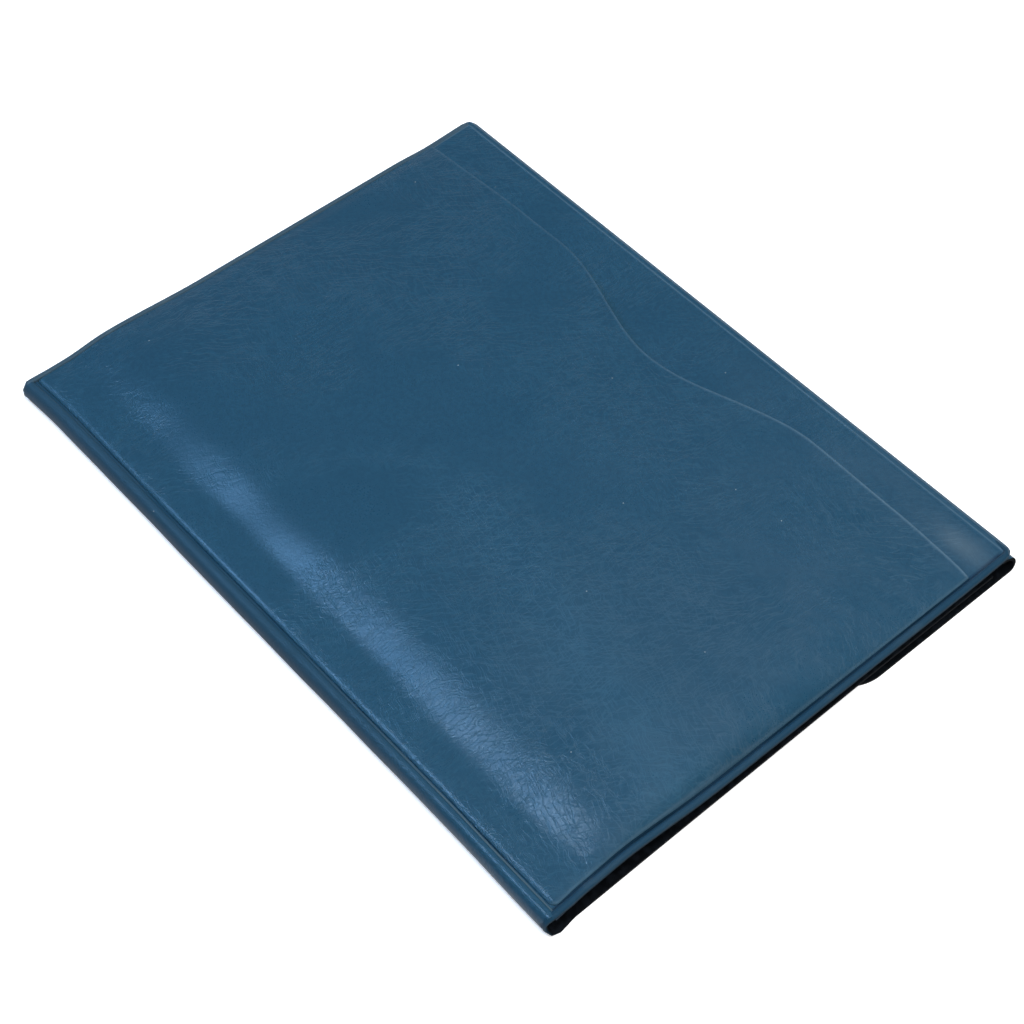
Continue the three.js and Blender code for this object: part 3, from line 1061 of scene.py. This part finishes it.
def weld_finish():
    """The same vinyl where it was fused: smoother and a little darker, paler in random rubs, with a painted
    highlight and a painted shade where these were kept.
    """
    finish = Finish("welded_vinyl")
    place = finish.place()
    cloud = finish.step(finish.noise(place, WELD_CLOUD_SCALE, 3), 0.35, 0.7)
    rubs = finish.step(finish.streaks(place, **WELD_RUBS), 0.56, 0.75)
    # Paler in random rubs and cloud, and where a painted highlight was kept
    pale = rubs * 0.35 + 0.15 * cloud + finish.kept("painted_highlight") * 0.6
    shaded = finish.kept("shaded")
    colour = finish.mix(pale, WELD_BLUE, WELD_PALE)
    finish.surface({
        "Base Color": finish.mix(shaded, colour, WELD_SHADED),
        "Roughness": 0.36 + 0.12 * cloud + 0.5 * shaded,
        "Normal": finish.bump(finish.noise(place, WELD_GRAIN_SCALE, 2), WELD_GRAIN_DEPTH),
        "Specular Tint": VINYL_SHEEN_TINT,
        "Specular IOR Level": 0.25,
    })
    return finish.material


def inner_shade_finish():
    """The inner faces of the sheets and the beads' lower sides: a nearly black painted shade for the
    hollows between the layers, matt, with a faint lighter cast.
    """
    finish = Finish("painted_shade_inner")
    cast = finish.step(finish.noise(finish.place(), INNER_SHADE_SCALE, 3), 0.4, 0.7)
    finish.surface({
        "Base Color": finish.mix(cast, INNER_SHADE_DARK, INNER_SHADE_CAST),
        "Roughness": 0.7 + 0.15 * cast,
        "Specular IOR Level": 0.1,
        "Normal": finish.bump(cast, INNER_SHADE_DEPTH),
    })
    return finish.material


FLOOR_SIZE = 8
FLOOR_GAP = 0.1 * MM
FLOOR_PALE = (0.93, 0.93, 0.93, 1)
FLOOR_THROWN = (0.25, 0.25, 0.25, 1)
FLOOR_GLOW = (0.45, 0.45, 0.45, 1)
NO_GLOW = (0, 0, 0, 1)


def floor_finish():
    """A pale lit floor that throws little light up at the pieces."""
    finish = Finish("pale_floor")
    spread = finish.node("ShaderNodeLightPath", {}, {}, "Is Diffuse Ray")
    mirrored = finish.node("ShaderNodeLightPath", {}, {}, "Is Glossy Ray")
    thrown = spread + 0.6 * mirrored
    finish.surface({
        "Base Color": finish.mix(thrown, FLOOR_PALE, FLOOR_THROWN),
        "Roughness": 0.8,
        "Emission Color": finish.mix(thrown, FLOOR_GLOW, NO_GLOW),
        "Emission Strength": 1.0,
    })
    return finish.material


def lay_floor():
    bpy.ops.object.select_all(action="DESELECT")
    bpy.ops.mesh.primitive_plane_add(size=FLOOR_SIZE, location=(0, 0, -FLOOR_GAP))
    bpy.ops.object.transform_apply(rotation=False, scale=False)
    floor = bpy.context.object
    floor.name = "floor"
    floor.data.name = "floor"
    floor.data.materials.append(floor_finish())


# Soft lights: where each stands from the middle of the table, the direction of its first side, its
# size, its power and colour, and whether its own shape mirrors in the vinyl
LIGHTS = [
    dict(
        name="main_light", direction=(0.38, 0.08, 0.92), distance=1.6, along=(1, 0, 0),
        size=(1.4, 1.4), power=33.6, colour=(1, 1, 1), mirrored=False,
    ),
    dict(
        name="sheen_light", direction=(-0.41, -0.36, 0.84), distance=1.015, along=(416, -44, 124),
        size=(0.44, 0.2), power=3.1, colour=(0.29, 0.58, 1), mirrored=True,
    ),
    dict(
        name="corner_light", direction=(-0.19, -0.3, 0.92), distance=1.0, along=(1, 0, 0),
        size=(0.16, 0.12), power=1.05, colour=(0.74, 0.87, 1), mirrored=True,
    ),
    dict(
        name="side_light", direction=(-0.17, 0.44, 0.88), distance=1.2, along=(1, 0, 0),
        size=(0.5, 0.35), power=0.3, colour=(1, 0.96, 0.92), mirrored=True,
    ),
    dict(
        name="back_light", direction=(-0.68, 0.7, 0.12), distance=1.6, along=(0.7, 0.68, 0),
        size=(3.0, 0.6), power=3.2, colour=(1, 1, 1), mirrored=True,
    ),
]
WORLD_COLOUR = (1, 1, 1, 1)
WORLD_STRENGTH = 0.12


def soft_light(name, direction, distance, along, size, power, colour, mirrored):
    """A rectangular light that faces the middle of the table."""
    data = bpy.data.lights.new(name, "AREA")
    data.shape = "RECTANGLE"
    data.size, data.size_y = size
    data.energy = power
    data.color = colour
    light = bpy.data.objects.new(name, data)
    towards = Vector(direction).normalized()
    first = Vector(along)
    first = (first - towards * first.dot(towards)).normalized()
    light.location = towards * distance
    light.rotation_mode = "QUATERNION"
    light.rotation_quaternion = Matrix((first, towards.cross(first), towards)).transposed().to_quaternion()
    light.visible_glossy = mirrored
    bpy.context.collection.objects.link(light)


def light_studio():
    world = bpy.data.worlds.new("studio")
    world.use_nodes = True
    background = world.node_tree.nodes["Background"]
    background.inputs["Color"].default_value = WORLD_COLOUR
    background.inputs["Strength"].default_value = WORLD_STRENGTH
    bpy.context.scene.world = world
    for row in LIGHTS:
        soft_light(**row)
    bpy.context.scene.view_settings.view_transform = "Standard"


CAMERA_AZIMUTH = 48.904
CAMERA_ELEVATION = 52.494
CAMERA_DISTANCE = 602.585 * MM
CAMERA_TARGET = (9.985 * MM, -6.38 * MM, 0)
CAMERA_LENS = 77.19
CAMERA_SENSOR = 36


def set_camera():
    turn = math.radians(CAMERA_AZIMUTH)
    tilt = math.radians(CAMERA_ELEVATION)
    back = Vector((math.sin(turn) * math.cos(tilt), -math.cos(turn) * math.cos(tilt), math.sin(tilt)))
    data = bpy.data.cameras.new("camera")
    data.sensor_width = CAMERA_SENSOR
    data.lens = CAMERA_LENS
    camera = bpy.data.objects.new("camera", data)
    camera.location = Vector(CAMERA_TARGET) + back * CAMERA_DISTANCE
    camera.rotation_mode = "QUATERNION"
    camera.rotation_quaternion = (-back).to_track_quat("-Z", "Y")
    bpy.context.collection.objects.link(camera)
    bpy.context.scene.camera = camera


set_camera()
light_studio()
lay_floor()
vinyl = vinyl_finish()
weld = weld_finish()
# The nearly black painted shade for the inner faces and the beads' lower sides
inner_shade = inner_shade_finish()
PIECES = [
    (cover_sheet(), "back_cover", "vinyl"),
    (flap_sheet(), "closing_flap", "vinyl"),
    (backing_sheet(), "backing_panel", "vinyl"),
    (pocket_sheet(), "pocket_panel", "vinyl"),
    (rim_bead("left_bead", -1), "left_rim_bead", "weld"),
    (rim_bead("right_bead", 1), "right_rim_bead", "weld"),
    (weld_strip(), "bottom_weld_strip", "weld"),
]
for piece, node, slot in PIECES:
    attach(piece, BODY)
    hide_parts(node)
